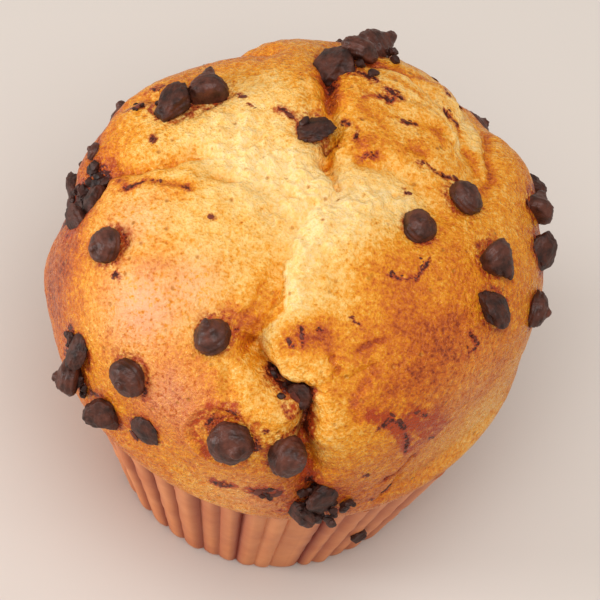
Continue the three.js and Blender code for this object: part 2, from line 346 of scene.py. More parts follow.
def relief(ways):
    # height of the surface over the plain dome: lobes, cracks and a slow unevenness
    x, y, z = ways.T
    waves = np.sin(5.2 * x + 1) + np.sin(6.1 * y + 2.2) + np.sin(5.6 * z + 4)
    height = dome["unevenness"] * waves
    for turn, rise, reach, amount in swellings:
        height += amount * bell(distanceTo(ways, turn, rise), reach)
    ragged = frayed(ways)
    large = creases, torn(ways), dome["creaseReach"]
    small = fineCreases, ragged, dome["fineReach"]
    for lines, places, reach in (large, small):
        for line, width, depth, ledge in lines:
            distance, side, share = nearestOnLine(places, line)
            taper = smooth(share, 0, 0.2) * (1 - smooth(share, 0.8, 1))
            edge = 1 - np.exp(-distance / dome["ledgeEdge"])
            height += ledge * taper * 0.5 * side * edge * bell(distance, reach)
            height -= depth * dome["groove"] * bell(distance, width)
            height -= depth * dome["slit"] * bell(distance, dome["slitWidth"] * width)
    for turn, rise, radius, depth in pits:
        height -= depth * bell(distanceTo(ragged, turn, rise), radius)
    return height


def caseRadius(z):
    return case["baseRadius"] + (case["rimRadius"] - case["baseRadius"]) * z / case["height"]


def fluteDepth(z):
    deepening = case["fluteDepthAtRim"] - case["fluteDepthAtBase"]
    return case["fluteDepthAtBase"] + deepening * z / case["height"]


def plugRadius(z):
    # the cake just inside the paper's inner folds
    return caseRadius(z) - fluteDepth(z) - dome["plugGap"]


def plainSection():
    # radius, height and share of the relief, from the top of the dome to the middle of the base
    steps = 90
    quarter = np.linspace(0, math.pi / 2, steps + 1)
    power = 2 / dome["squareness"]
    rows = np.zeros((2 * steps + 1, 3))
    rows[:steps + 1, 0] = dome["radius"] * np.sin(quarter) ** power
    rows[:steps + 1, 1] = dome["widestHeight"] + dome["rise"] * np.cos(quarter).clip(0) ** power
    rows[:steps + 1, 2] = 1
    power = 2 / dome["lipSquareness"]
    neckRadius = plugRadius(dome["lipHeight"]) - dome["neckInset"]
    fall = dome["widestHeight"] - dome["lipHeight"]
    under = quarter[1:]
    drop = fall * np.sin(under) ** power
    out = np.cos(under).clip(0) ** power
    rows[steps + 1:, 0] = neckRadius + (dome["radius"] - neckRadius) * out
    rows[steps + 1:, 1] = dome["widestHeight"] - drop
    rows[steps + 1:, 2] = 1 - smooth(drop, 2, fall)
    floorHeight, foot = dome["plugFloor"], case["footRound"]
    neckFoot = dome["lipHeight"] - dome["neckHeight"]
    footRadius = plugRadius(floorHeight + foot)
    plug = [
        [plugRadius(neckFoot), neckFoot, 0],
        [footRadius, floorHeight + foot, 0],
        [footRadius - foot, floorHeight, 0],
        [0, floorHeight, 0],
    ]
    return np.vstack([rows, plug])


section = plainSection()


def sectionAt(totals, values):
    return [np.interp(values, totals, section[:, k]) for k in range(3)]


def surfaceAt(turns, radius, z, share):
    wide = 1 + share * dome["oblong"] * np.cos(2 * (turns - math.radians(dome["oblongTurn"])))
    points = np.array([wide * radius * np.cos(turns), wide * radius * np.sin(turns), z]).T
    return points, unit(points - np.array([0, 0, dome["widestHeight"]]))


def areaTotals():
    # the cake's area from its top down to each point of the section, with the plug's reduced
    radius, z = section[:, 0], section[:, 1]
    slant = np.hypot(np.diff(radius), np.diff(z))
    weight = np.where(z[:-1] > dome["lipHeight"], 1, dome["plugShare"])
    return np.concatenate([[0], np.cumsum(weight * slant * (radius[1:] + radius[:-1]))])


def surfaceOver(turn, rise):
    drops = np.arctan2(dome["widestHeight"] - section[:, 1], section[:, 0])
    radius, z, share = sectionAt(drops, np.array([-math.radians(rise)]))
    points, ways = surfaceAt(np.array([math.radians(turn)]), radius, z, share)
    return (points + ways * (share * relief(ways))[:, None])[0]


# Where the chips are: turn, rise, size, proud, lean, leanTurn, height

wholeChips = [
    [246, 44, 1, 0.4, 50, 100, 1.1], [201, 36, 0.98, 0.2, 12, 200, 0.9],
    [232, 23, 1.04, 0.2, 15, 240, 0.95], [262, 23, 1.18, 0.2, 20, 330, 0.95],
    [276, 21, 1.1, 0.4, 45, 60, 1.05], [358, 60, 0.95, 0, 10, 120, 0.9],
    [19, 48, 0.98, 0.1, 15, 90, 0.9], [359, 40, 1, 0.5, 55, 330, 1.1],
    [24, 22, 1.02, -0.3, 60, 95, 0.9], [359, 17, 0.98, -0.2, 25, 0, 0.8],
    [86, 38, 1, 0.5, 20, 80, 0.9], [83, 29, 1.06, 0.3, 45, 30, 1],
    [138, 43, 1.05, 0.5, 60, 110, 1.15], [217, 4, 1.08, 0.9, 40, 200, 0.85],
    [167, 25, 0.5, -0.3, 10, 170, 0.8],
]
meltedChips = [
    [149, 40, 1.05, 0.3, 25, 160, 0.85], [346, 34, 1.02, 0, 30, 120, 0.6],
    [13, 20, 1.06, -0.2, 40, 290, 0.7], [92, 41, 1.14, 0.8, 35, 200, 0.95],
    [100, 64, 1, -0.2, 15, 180, 0.5], [182, 26, 1, 0, 20, 180, 0.7],
    [186, 23, 0.85, -0.3, 35, 220, 0.6], [216, 13, 0.9, 0.2, 30, 90, 0.6],
    [229, 4, 1.02, 0.6, 40, 250, 0.7], [240, 10, 0.9, -0.4, 10, 240, 0.4],
    [287, 3, 1.05, 0.1, 30, 60, 0.5], [281, -3, 0.9, 0, 40, 260, 0.42],
    [277, 34, 0.7, -0.6, 20, 200, 0.5],
]
goldenStep = 0.618034
backScatter = {"count": 15, "turnFrom": 30, "turnSpan": 145, "riseFrom": -7, "riseSpan": 22}


def backChips():
    # the back has a like scatter, evenly apart by steps of the golden ratio, as in the solid
    rows = []
    for k in range(backScatter["count"]):
        turn = backScatter["turnFrom"] + backScatter["turnSpan"] * ((k * goldenStep) % 1)
        rise = backScatter["riseFrom"] + backScatter["riseSpan"] * (k + 0.5) / backScatter["count"]
        step = k % 5
        size, height = 0.92 + 0.05 * (k % 4), 0.62 + 0.14 * (k % 4)
        rows.append([turn, rise, size, 0.15 * step, 8 + 11 * step, 67 * k, height])
    return rows


for row in backChips():
    (wholeChips if row[6] > 0.8 else meltedChips).append(row)
allChips = wholeChips + meltedChips


# The cake, painted by bake, stain and crumb, with a painted sheen and painted shade

cake = {
    "subdivisions": 6,
    "extraCuts": 2,
    "crumbLift": 1.1,
    "crustLift": 0.14,
    "fineScales": (0.5, 0.95),
    "lumpScales": (0.26, 0.62),
    "lumpSoftness": 0.12,
    "paintReach": 6.5,
    "paintWobble": 0.03,
    "profileWeight": 0.12,
    # the painted shade in the gully beside the cliff
    "gullyReach": 4.2,
    "gullyShade": 0.2,
    "lobeReach": 5,
    "lobeBake": 0.08,
    # the painted shade in the pits
    "pitShade": 0.1,
    "chipStainAndShade": 0.75,
    "chipReach": 4.2,
    "chipRing": 3.3,
    "chipDent": 0.45,
    "craterPlace": (259, 22),
    "craterRadius": 6,
}

# How far each place is baked, from 0, pale crumb, to 1, dark crust: turn, rise, bake.
tones = [
    [145, 50, 0.12], [125, 52, 0.25], [155, 65, 0.05], [165, 80, 0.06], [85, 80, 0.08],
    [5, 80, 0.03], [20, 70, 0.1], [275, 78, 0.15], [290, 70, 0.17], [270, 59, 0.1], [268, 49, 0.17],
    [266, 42, 0.22], [288, 37, 0.44], [287, 48, 0.34], [284, 28, 0.32], [266, 31, 0.44],
    [310, 78, 0.12], [187, 46, 0.34], [200, 55, 0.27], [225, 62, 0.31], [215, 71, 0.23],
    [203, 40, 0.4], [214, 32, 0.45], [230, 41, 0.4], [240, 53, 0.33], [230, 28, 0.5],
    [247, 30, 0.63], [242, 24, 0.73], [250, 45, 0.45], [324, 63, 0.58], [332, 66, 0.35],
    [340, 55, 0.61], [304, 60, 0.47], [286, 57, 0.28], [304, 45, 0.6], [320, 44, 0.66],
    [297, 24, 0.45], [293, 12, 0.65], [55, 56, 0.48], [35, 52, 0.4], [50, 66, 0.35], [25, 44, 0.46],
    [13, 40, 0.45], [24, 32, 0.54], [50, 38, 0.22], [60, 46, 0.42], [72, 56, 0.44], [72, 64, 0.42],
    [66, 36, 0.35], [36, 44, 0.4], [122, 35, 0.56], [105, 35, 0.5], [138, 35, 0.54],
    [157, 36, 0.47], [155, 43, 0.27], [198, 14, 0.86], [195, 20, 0.75], [218, 22, 0.45],
    [213, 14, 0.61], [322, 36, 0.68], [322, 28, 0.65], [308, 24, 0.69], [315, 18, 0.75],
    [327, 24, 0.57], [341, 24, 0.58], [349, 30, 0.62], [252, 18, 0.6], [259, 12, 0.56],
    [262, 2, 0.43], [277, 7, 0.7], [249, 8, 0.6], [232, 12, 0.6], [299, -2, 0.68], [292, 4, 0.71],
    [302, 12, 0.55], [171, 24, 0.68], [165, 18, 0.78], [36, 20, 0.5], [10, 25, 0.55],
    [335, -2, 0.34], [320, 4, 0.46], [350, 6, 0.48],
]

# Browner edges and streaks, along the cracks partly painted shade, and paler ones where the change
# is
# negative: a line of places, half width, change of the bake.
bakeAndShadeLines = [
    ([[259, 57], [256, 51]], 2.4, 0.14), ([[254, 49], [246, 49]], 2.6, 0.2),
    ([[252, 60], [253, 53], [250, 50], [243, 50]], 0.6, 0.12), ([[216, 47], [212, 42]], 2.4, 0.14),
    # the paler patch from [220, 38] to [214, 37] is a painted highlight, part of the sheen on the
    # left lobe
    ([[207, 48], [210, 53]], 1.6, 0.1), ([[220, 38], [214, 37]], 2.6, -0.12),
    ([[246, 56], [249, 62]], 2, 0.08), ([[318, 47], [322, 40]], 4, 0.08),
    ([[306, 38], [312, 36]], 3, 0.1), ([[324, 35], [330, 40]], 4, 0.08),
    ([[326, 58], [318, 54]], 4, 0.12), ([[288, 38], [292, 43], [300, 50]], 3, 0.1),
    ([[176, 34], [184, 42], [182, 44], [181, 46], [183, 50], [184, 57]], 0.9, 0.3),
    ([[190, 48], [188, 54]], 1.6, 0.14),
    ([[84, 38], [77, 37], [71, 37], [66, 34], [58, 22]], 1.3, 0.35),
    ([[54, 37], [50, 36], [46, 38]], 0.6, 0.28), ([[41, 39], [37, 39], [31, 40]], 0.6, 0.22),
    ([[46, 27], [43, 30], [38, 34], [34, 35], [28, 37], [22, 42]], 0.7, 0.28),
    ([[47, 56], [42, 53]], 1.2, 0.22), ([[49, 46], [46, 46]], 1, 0.2),
    ([[66, 52], [54, 52]], 1.6, -0.12), ([[48, 41], [38, 43]], 0.9, -0.15),
    ([[56, 33], [48, 32], [40, 37]], 0.9, -0.15),
    ([[80, 44], [66, 44], [52, 41], [42, 41]], 0.6, -0.16),
    ([[76, 41], [64, 40], [55, 38]], 0.5, -0.14), ([[74, 43], [62, 42], [52, 43]], 0.5, 0.14),
    ([[70, 54], [58, 51], [50, 47], [42, 47]], 0.6, 0.14),
    ([[78, 56], [66, 57], [56, 58]], 0.8, 0.13), ([[62, 62], [50, 58], [42, 59]], 0.8, 0.12),
    ([[66, 65], [60, 68], [52, 65]], 1.6, 0.28), ([[272, 49], [277, 50], [283, 51]], 3.2, 0.5),
    ([[296, 46], [300, 47], [306, 47]], 0.7, 0.25),
    ([[300, 41], [296, 38], [293, 36], [292, 33], [293, 30]], 0.8, 0.2),
    ([[296, 33], [300, 30], [302, 34]], 2.6, 0.14), ([[303, 3], [306, 4], [310, 8]], 1, 0.3),
    ([[154, 24], [158, 23], [165, 24]], 1.4, 0.25), ([[175, 61], [175, 64]], 0.9, 0.15),
    ([[169, 49], [175, 42], [175, 34]], 1, 0.1), ([[84, 72], [70, 77], [52, 81]], 0.9, 0.1),
    ([[84, 72], [84, 66]], 1.6, 0.16), ([[91, 54], [93, 50], [95, 46]], 1.8, 0.4),
    ([[258, 43], [264, 41]], 2, 0.2), ([[288, 43], [286, 47]], 1.2, 0.2),
]

# Soft red-brown smears of melted chocolate: a line of places, half width, strength.
smears = [
    ([[308, 25], [313, 21], [318, 16]], 3.2, 0.74), ([[308, 17], [311, 16]], 2.4, 0.68),
    ([[297, 31], [302, 28], [306, 21], [308, 14]], 1.4, 1),
    ([[271, 49], [277, 50], [283, 51]], 1.8, 0.3),
    ([[257, 15], [252, 22], [255, 29], [260, 31]], 1.1, 0.75), ([[254, 25], [257, 28]], 1.6, 0.45),
    ([[295, 46], [300, 47], [306, 47]], 0.8, 0.3), ([[270, 5], [275, 6]], 2.6, 0.8),
    ([[260, 4], [264, 5]], 1.6, 0.75), ([[240, 5], [237, 5]], 2.2, 0.4),
    ([[154, 31], [146, 32]], 2.4, 0.35), ([[112, 61], [117, 58]], 1.6, 0.45),
    ([[331, 32], [335, 32]], 2.4, 0.35), ([[73, 63], [66, 66], [60, 68], [52, 65]], 1.2, 0.2),
    ([[78, 52], [69, 49]], 1.3, 0.45), ([[38, 57], [33, 53], [26, 48]], 1.5, 0.35),
    ([[324, 60], [331, 55], [345, 55]], 1.2, 0.15), ([[280, 36], [281, 30], [280, 20]], 1.1, 0.8),
    ([[268, 38], [274, 36], [281, 36]], 1.3, 0.8), ([[282, 12], [284, 3], [286, -4]], 2.4, 0.6),
    ([[180, 26], [176, 18], [178, 8]], 3, 0.8), ([[184, 41], [182, 45]], 1.2, 0.35),
    ([[303, 3], [306, 4], [309, 7]], 0.9, 0.4), ([[303, -5], [305, -2]], 1, 0.5),
    ([[93, 51], [95, 47]], 1.4, 0.45),
]

# Where a pink sheen, a painted reflection, lies on the smooth crust: turn, rise, reach in mm,
# strength.
paintedSheenPatches = [
    [223, 37, 7.5, 0.72], [227, 48, 6, 0.5], [197, 43, 6, 0.36], [243, 26, 6.5, 0.34],
    [232, 28, 6, 0.26], [330, 20, 9, 0.15], [324, 2, 9, 0.12], [268, 0, 7, 0.3],
]

# Flecks and dashes of chocolate: a line of places, half width.
flecks = [
    ([[73, 50], [69, 49]], 0.55), ([[73, 47], [69, 47], [66, 47]], 0.5),
    ([[60, 52], [55, 50]], 0.5), ([[55, 37], [53, 37], [50, 36]], 0.5),
    ([[84, 61], [79, 62]], 0.35), ([[73, 63], [71, 65]], 0.35), ([[60, 68], [54, 65]], 0.35),
    ([[38, 56], [37, 54], [33, 53], [29, 52], [29, 50], [27, 48]], 0.4),
    ([[22, 63], [21, 62]], 0.4), ([[324, 60], [327, 57], [331, 55], [339, 55], [345, 55]], 0.28),
    ([[296, 54], [299, 52]], 0.35), ([[271, 49], [273, 47]], 0.4), ([[275, 52], [276, 48]], 0.4),
    ([[281, 52], [285, 52]], 0.3), ([[184, 41], [182, 44]], 0.5), ([[181, 46], [181, 48]], 0.3),
    ([[184, 54], [186, 56]], 0.3), ([[202, 61], [203, 61]], 0.45), ([[210, 35], [211, 36]], 0.4),
    ([[117, 58], [112, 61]], 0.6), ([[155, 31], [153, 34]], 0.6), ([[144, 33], [146, 32]], 0.5),
    ([[163, 42], [164, 42]], 0.45), ([[130, 49], [128, 50]], 0.45), ([[129, 53], [128, 54]], 0.35),
    ([[154, 25], [158, 23], [164, 24]], 0.5),
    ([[266, 39], [270, 37], [275, 35], [280, 35], [280, 30]], 0.8), ([[256, 27], [255, 24]], 0.35),
    ([[259, 30], [262, 30]], 0.35), ([[269, 27], [270, 27]], 0.35), ([[260, 3], [262, 5]], 0.7),
    ([[262, 3], [264, 5]], 0.4), ([[270, 5], [274, 7]], 0.8), ([[272, 4], [275, 5], [276, 7]], 0.6),
    ([[269, 6], [271, 4]], 0.5), ([[240, 5], [237, 5]], 0.6), ([[223, 5], [225, 6]], 0.5),
    ([[237, 23], [238, 20]], 0.35), ([[268, 25], [269, 22]], 0.4),
    ([[299, 27], [302, 28], [304, 27], [306, 24]], 0.5), ([[306, 22], [307, 18], [307, 14]], 0.5),
    ([[310, 26], [313, 24]], 0.35), ([[314, 14], [316, 12]], 0.35), ([[303, 3], [305, 4]], 0.5),
    ([[309, 7], [311, 9]], 0.4), ([[303, -5], [305, -2]], 0.7),
    ([[331, 32], [335, 32], [334, 36]], 0.4), ([[296, 10], [297, 10]], 0.4),
    ([[299, -4], [300, -5]], 0.3),
]


def profileTone(rise):
    # away from the painted places, the top is golden and the sides are browner
    return np.interp(rise, [-30, -12, 5, 30, 60, 90], [0.5, 0.62, 0.75, 0.62, 0.45, 0.3])


def bakeOver(ways):
    rises = np.degrees(np.arcsin(ways[:, 2].clip(-1, 1)))
    wobble = ways + cake["paintWobble"] * noiseAlong(ways, 9, 11)
    total = np.full(len(ways), cake["profileWeight"])
    value = total * profileTone(rises)
    for turn, rise, tone in tones:
        weight = bell(distanceTo(wobble, turn, rise), cake["paintReach"])
        total += weight
        value += weight * tone
    value /= total
    cliff = creases[0][0]
    distance, side, share = nearestOnLine(torn(ways), cliff)
    # Painted shade: the gully on the low side of the cliff is darkened; the lobe's edge beside it
    # is made paler.
    gully = (side < 0) * bell(distance, cake["gullyReach"]) * smooth(share, 0.3, 0.6)
    lobe = (side > 0) * bell(distance, cake["lobeReach"])
    value += cake["gullyShade"] * gully - cake["lobeBake"] * lobe
    ragged = frayed(ways)
    for places, width, change in bakeAndShadeLines:
        value += change * bell(nearestOnLine(ragged, places)[0], width)
    # Painted shade: each pit is darker in its hollow, the more so the deeper it is.
    for turn, rise, radius, depth in pits:
        value += cake["pitShade"] * depth * bell(distanceTo(ragged, turn, rise), 0.8 * radius)
    return value.clip(0, 1)


def stainAndShadeOver(ways):
    stainAndShade = np.zeros(len(ways))
    ragged = frayed(ways)
    for places, width, strength in smears:
        distance = nearestOnLine(ragged, places)[0]
        stainAndShade = np.maximum(stainAndShade, strength * bell(distance, width))
    # Round each chip the crust is stained red-brown: partly melted chocolate, partly painted shadow
    # at the chip's foot.
    for turn, rise, size, *rest in allChips:
        near = bell(distanceTo(ragged, turn, rise), cake["chipReach"] * size)
        stainAndShade = np.maximum(stainAndShade, cake["chipStainAndShade"] * near)
    return stainAndShade


def paintedSheenOver(ways):
    # painted sheen: the strongest nearby patch sets how much pink reflection is painted
    total = np.zeros(len(ways))
    for turn, rise, reach, strength in paintedSheenPatches:
        total = np.maximum(total, strength * bell(distanceTo(ways, turn, rise), reach))
    return total


def backFlecks():
    # small dashes on the sides that the photograph doesn't show
    rows = []
    for k in range(26):
        turn, rise = luck.uniform(20, 170), luck.uniform(-8, 34)
        way = luck.uniform(0, 2 * math.pi)
        length = luck.uniform(0.5, 3)
        end = [turn + length * math.cos(way), rise + length * math.sin(way)]
        rows.append(([[turn, rise], end], luck.uniform(0.3, 0.6)))
    return rows


flecks += backFlecks()

# Dark paint in the notches and holes, partly smeared chocolate and partly painted shade: a line of
# places, half width.
notchChocolateAndShade = [
    ([[174, 29], [176, 22], [176, 4]], 2.8), ([[180, 22], [179, 8]], 1.6),
    ([[268, 39], [274, 36], [281, 36]], 0.9), ([[280, 36], [280, 30], [280, 24]], 0.8),
    ([[283, 8], [285, 1], [289, -5]], 1.8), ([[87, 66], [82, 67]], 0.7),
    ([[91, 49], [94, 46]], 0.5), ([[88, 44], [78, 46]], 1), ([[12, 24], [12, 16]], 2),
    ([[210, 14], [211, 2]], 1.4),
]


def flecksAndShadeOver(ways):
    marks = np.zeros(len(ways))
    ragged = frayed(ways)
    for places, width in flecks + notchChocolateAndShade:
        distance = nearestOnLine(ragged, places)[0]
        marks = np.maximum(marks, 1.1 * bell(distance, width + 0.35))
    # A dark ring round each chip: partly melted chocolate, partly painted shadow at its foot.
    for turn, rise, size, *rest in allChips:
        fromRing = distanceTo(ragged, turn, rise) - cake["chipRing"] * size
        marks = np.maximum(marks, 0.8 * bell(fromRing, 0.55))
    return marks


def chipDents(ways):
    # each chip has sunk in a little, and the broad one at the front sits in a small crater
    height = np.zeros(len(ways))
    for turn, rise, size, *rest in allChips:
        near = bell(distanceTo(ways, turn, rise), cake["chipReach"] * size)
        height -= cake["chipDent"] * near
    ring = distanceTo(ways, *cake["craterPlace"])
    height += 0.45 * bell(ring - cake["craterRadius"], 0.8) - 0.5 * bell(ring, 4.6)
    return height


def addCake():
    deselectAll()
    bpy.ops.mesh.primitive_ico_sphere_add(subdivisions=cake["subdivisions"], radius=1)
    piece = bpy.context.object
    piece.name = "bakedCake"
    editAll()
    bpy.ops.mesh.subdivide(number_cuts=cake["extraCuts"])
    leaveEdit()
    ball = unit(pointsOf(piece))
    totals = areaTotals()
    turns = np.arctan2(ball[:, 1], ball[:, 0])
    radius, z, share = sectionAt(totals, totals[-1] * (1 - ball[:, 2]) / 2)
    points, ways = surfaceAt(turns, radius, z, share)
    bake = bakeOver(ways)
    crumb = (1 - smooth(bake, 0.12, 0.36)) * share
    broad, narrow = cake["fineScales"]
    fine = noiseAt(points, broad, 21) + 0.7 * noiseAt(points, narrow, 22)
    broad, narrow = cake["lumpScales"]
    lumps = np.hypot(noiseAt(points, broad, 23), cake["lumpSoftness"])
    lumps += 0.7 * np.hypot(noiseAt(points, narrow, 24), cake["lumpSoftness"]) - 0.45
    height = relief(ways) + chipDents(ways) + cake["crustLift"] * fine
    height += cake["crumbLift"] * crumb * (lumps + 0.35 * fine)
    points += ways * (share * height)[:, None]
    movePoints(piece, points * mm)
    paintPoints(piece, "bake", bake)
    paintPoints(piece, "crumb", crumb)
    # the painted sheen, and the stains and dark marks with their painted shade, go on as attributes
    paintPoints(piece, "paintedSheen", paintedSheenOver(ways) * share)
    paintPoints(piece, "stainAndShade", stainAndShadeOver(ways) * share)
    paintPoints(piece, "fleckAndShade", flecksAndShadeOver(ways) * share)
    bpy.ops.object.shade_smooth()
    return piece


# Materials

def newMaterial(name):
    material = bpy.data.materials.new(name)
    material.use_nodes = True
    tree = material.node_tree
    places = tree.nodes.new("ShaderNodeTexCoord").outputs["Object"]
    return material, tree, tree.nodes["Principled BSDF"], places


def addNode(tree, kind, **inputs):
    node = tree.nodes.new(kind)
    setInputs(node, inputs)
    return node


def link(tree, value, node, name):
    tree.links.new(value, node.inputs[name])


def addRamp(tree, share, stops):
    ramp = tree.nodes.new("ShaderNodeValToRGB")
    link(tree, share, ramp, "Fac")
    colours = ramp.color_ramp.elements
    while len(colours) < len(stops):
        colours.new(0.5)
    for element, (place, colour) in zip(colours, stops):
        element.position = place
        element.color = colour
    return ramp.outputs["Color"]


def addMath(tree, operation, first, second, clamp=False):
    node = tree.nodes.new("ShaderNodeMath")
    node.operation = operation
    node.use_clamp = clamp
    for socket, value in zip(node.inputs, (first, second)):
        if isinstance(value, (int, float)):
            socket.default_value = value
        else:
            tree.links.new(value, socket)
    return node.outputs["Value"]


def addSum(tree, first, second, clamp=False):
    return addMath(tree, "ADD", first, second, clamp)


def addProduct(tree, first, second, clamp=False):
    return addMath(tree, "MULTIPLY", first, second, clamp)


def addMix(tree, share, first, second):
    node = tree.nodes.new("ShaderNodeMix")
    node.data_type = "RGBA"
    for name, value in ((0, share), (6, first), (7, second)):
        if isinstance(value, (int, float, tuple)):
            node.inputs[name].default_value = value
        else:
            link(tree, value, node, name)
    return node.outputs[2]


def addAttribute(tree, name):
    node = tree.nodes.new("ShaderNodeAttribute")
    node.attribute_name = name
    return node.outputs["Fac"]


def addUneven(tree, coordinates, scale, detail, roughness=0.6):
    # noise about nought
    node = addNode(tree, "ShaderNodeTexNoise", Scale=scale, Detail=detail, Roughness=roughness)
    link(tree, coordinates, node, "Vector")
    return addMath(tree, "SUBTRACT", node.outputs["Fac"], 0.5)


def addRise(tree, value, start, gain):
    # nought up to start, then rising to 1
    return addProduct(tree, addMath(tree, "SUBTRACT", value, start), gain, clamp=True)


def addPores(tree, coordinates, scale):
    node = addNode(tree, "ShaderNodeTexVoronoi", Scale=scale)
    link(tree, coordinates, node, "Vector")
    return node.outputs["Distance"]


def addBump(tree, finish, height, strength, depth):
    bump = addNode(tree, "ShaderNodeBump", Strength=strength, Distance=depth * mm)
    link(tree, height, bump, "Height")
    link(tree, bump.outputs["Normal"], finish, "Normal")


def buildGrain():
    # a soft mottle and a fine grain, which the chocolates and the paper share
    group = bpy.data.node_groups.new("mottleAndGrain", "ShaderNodeTree")
    addSocket = group.interface.new_socket
    addSocket("Place", in_out="INPUT", socket_type="NodeSocketVector")
    for name in ("Mottle", "Grain"):
        addSocket(name + " Scale", in_out="INPUT", socket_type="NodeSocketFloat")
        addSocket(name + " Detail", in_out="INPUT", socket_type="NodeSocketFloat")
        addSocket(name, in_out="OUTPUT", socket_type="NodeSocketFloat")
    given = group.nodes.new("NodeGroupInput").outputs
    result = group.nodes.new("NodeGroupOutput")
    for name in ("Mottle", "Grain"):
        texture = addNode(group, "ShaderNodeTexNoise", Roughness=0.6)
        link(group, given["Place"], texture, "Vector")
        link(group, given[name + " Scale"], texture, "Scale")
        link(group, given[name + " Detail"], texture, "Detail")
        link(group, texture.outputs["Fac"], result, name)
    return group


mottleAndGrain = buildGrain()


def addGrain(tree, places, values):
    node = tree.nodes.new("ShaderNodeGroup")
    node.node_tree = mottleAndGrain
    link(tree, places, node, "Place")
    setInputs(node, values)
    return node.outputs["Mottle"], node.outputs["Grain"]


crust = {
    "bakeColours": [
        (0, srgb(248, 216, 156)), (0.14, srgb(247, 206, 132)), (0.3, srgb(242, 187, 98)),
        (0.46, srgb(230, 151, 34)), (0.6, srgb(212, 121, 20)), (0.74, srgb(190, 93, 22)),
        (0.87, srgb(154, 64, 20)), (1, srgb(98, 40, 22)),
    ],
    # the pink of the painted sheen
    "paintedSheenPink": srgb(228, 166, 136),
    # the stain and dark-mark colours, which also carry painted shade round the chips and in the
    # notches
    "stainAndShadeRed": srgb(174, 66, 22),
    "haloRed": srgb(162, 58, 26),
    "fleckAndShadeDark": srgb(70, 26, 18),
    "poreBrown": srgb(196, 122, 44),
    "mottle": 0.28,
    "mottleScale": 330,
    "patches": 0.2,
    "patchScale": 120,
    "grains": 0.38,
    "coarseScale": 1100,
    "speckleScale": 2000,
    "cellScale": 2100,
    "holeScale": 330,
    "holeSize": 0.15,
    "streaks": 2.6,
    "stainAndShadeStart": 0.2,
    "haloStart": 0.35,
    "fleckAndShadeStart": 0.85,
    "roughness": 0.32,
    "crumbRoughness": 0.85,
    "grainDepth": 0.35,
    "bump": 0.7,
    "specular": 0.26,
    "subsurface": 0.1,
}


def crustMaterial():
    material, tree, finish, places = newMaterial("bakedCrust")
    bake = addAttribute(tree, "bake")
    crumb = addAttribute(tree, "crumb")
    mottle = addUneven(tree, places, crust["mottleScale"], 4)
    speckle = addUneven(tree, places, crust["speckleScale"], 2, 0.7)
    cells = addMath(tree, "SUBTRACT", addPores(tree, places, crust["cellScale"]), 0.48)
    patches = addUneven(tree, places, crust["patchScale"], 2)
    uneven = addProduct(tree, mottle, crust["mottle"])
    uneven = addSum(tree, uneven, addProduct(tree, patches, crust["patches"]))
    coarse = addUneven(tree, places, crust["coarseScale"], 2)
    mixed = addSum(tree, speckle, coarse)
    spots = addSum(tree, addProduct(tree, cells, 0.35), speckle)
    coarser = addProduct(tree, coarse, 1.5)
    grains = addProduct(tree, addSum(tree, spots, coarser), crust["grains"])
    tone = addSum(tree, addSum(tree, bake, uneven), grains, clamp=True)
    colour = addRamp(tree, tone, crust["bakeColours"])
    # Painted sheen: a pink reflection is mixed into the colour in broken patches.
    patchy = addProduct(tree, mixed, -4)
    patchy = addSum(tree, addSum(tree, patchy, mottle), 1, clamp=True)
    paintedSheenShare = addProduct(tree, addAttribute(tree, "paintedSheen"), patchy)
    colour = addMix(tree, paintedSheenShare, colour, crust["paintedSheenPink"])
    holes = addPores(tree, places, crust["holeScale"])
    inside = addMath(tree, "SUBTRACT", crust["holeSize"], holes)
    pore = addProduct(tree, inside, 8, clamp=True)
    colour = addMix(tree, pore, colour, crust["poreBrown"])
    # Stains and dark marks, with the painted shade round the chips and in the notches, are mixed in
    # here.
    streaky = addProduct(tree, addSum(tree, mottle, coarse), crust["streaks"])
    stainAndShade = addAttribute(tree, "stainAndShade")
    stainAndShadeShare = addProduct(tree, stainAndShade, addSum(tree, streaky, 1))
    colour = addMix(tree, addRise(tree, stainAndShadeShare, crust["stainAndShadeStart"], 2.2), colour, crust["stainAndShadeRed"])
    ragged = addProduct(tree, mixed, 1.3)
    dark = addSum(tree, addAttribute(tree, "fleckAndShade"), ragged)
    dark = addSum(tree, dark, mottle)
    colour = addMix(tree, addRise(tree, dark, crust["haloStart"], 1.6), colour, crust["haloRed"])
    colour = addMix(tree, addRise(tree, dark, crust["fleckAndShadeStart"], 4), colour, crust["fleckAndShadeDark"])
    link(tree, colour, finish, "Base Color")
    drier = addProduct(tree, crumb, crust["crumbRoughness"] - crust["roughness"])
    rough = addSum(tree, drier, crust["roughness"])
    rough = addSum(tree, rough, grains, clamp=True)
    link(tree, rough, finish, "Roughness")
    grain = addMath(tree, "SUBTRACT", addProduct(tree, spots, -1.6), coarse)
    height = addMath(tree, "SUBTRACT", grain, addProduct(tree, pore, 1.5))
    addBump(tree, finish, height, crust["bump"], crust["grainDepth"])
    setInputs(finish, {
        "Subsurface Weight": crust["subsurface"],
        "Subsurface Radius": (1, 0.5, 0.2),
        "Subsurface Scale": 2 * mm,
        "Specular IOR Level": crust["specular"],
    })
    return material


bakedCake = addCake()
bakedCake.data.materials.append(crustMaterial())
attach(bakedCake, "root")
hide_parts("cake")
print("the cake is baked:", len(bakedCake.data.polygons), "faces")


# The chips

